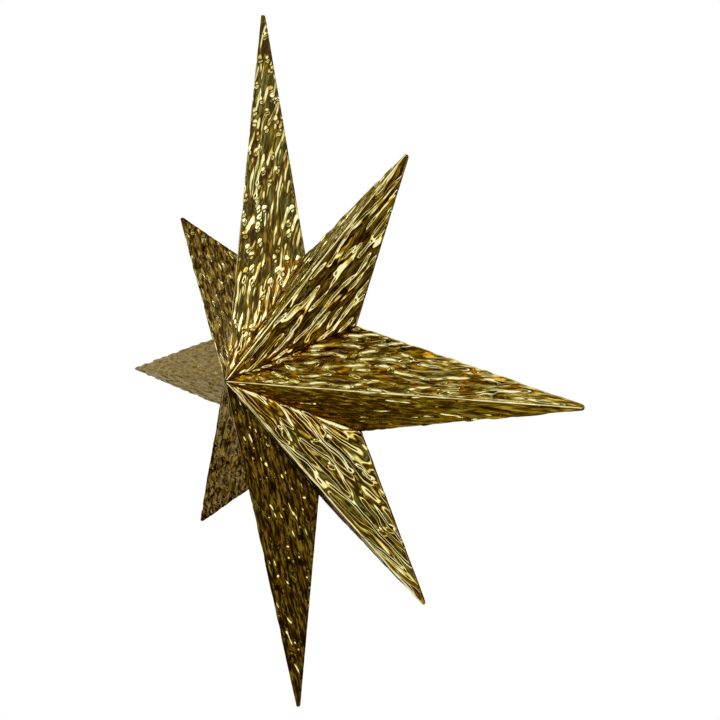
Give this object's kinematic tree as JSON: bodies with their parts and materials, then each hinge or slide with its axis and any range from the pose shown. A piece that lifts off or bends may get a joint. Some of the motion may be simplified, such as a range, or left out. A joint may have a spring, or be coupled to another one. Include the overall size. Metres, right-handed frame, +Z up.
{
  "type": "tree topper star",
  "caption": "Pointed relief star of folded embossed brass sheet with a hollow back and a strapped sleeve that slides over a tree's top branch.",
  "frame": {"origin": "middle of the mouth of the sleeve that takes the tree's top branch", "axes": "+Z up along the sleeve and the upper point, -Y out of the star's face, +X to the right as seen from the front"},
  "size_m": [0.2928, 0.0525, 0.3051],
  "materials": {
    "embossed_brass": "embossed with long ripples and polished bright",
    "strap_brass": "plain sheet, brushed along its length",
    "sleeve_brass": "drawn tube, satin",
    "rivet_brass": "domed and polished",
    "solder": "soft solder, dull, toned to the brass around it"
  },
  "bodies": {
    "root": {"point_north": "embossed_brass", "point_northeast": "embossed_brass", "point_east": "embossed_brass", "point_southeast": "embossed_brass", "point_south": "embossed_brass", "point_southwest": "embossed_brass", "point_west": "embossed_brass", "point_northwest": "embossed_brass", "valley_solder": "solder", "tip_solder": "solder", "peak_solder": "solder", "upper_strap": "strap_brass", "lower_strap": "strap_brass", "strap_solder": "solder", "branch_sleeve": "sleeve_brass", "sleeve_lid": "sleeve_brass", "upper_saddle": "strap_brass", "lower_saddle": "strap_brass", "saddle_rivets": "rivet_brass"}
  },
  "joints": []
}
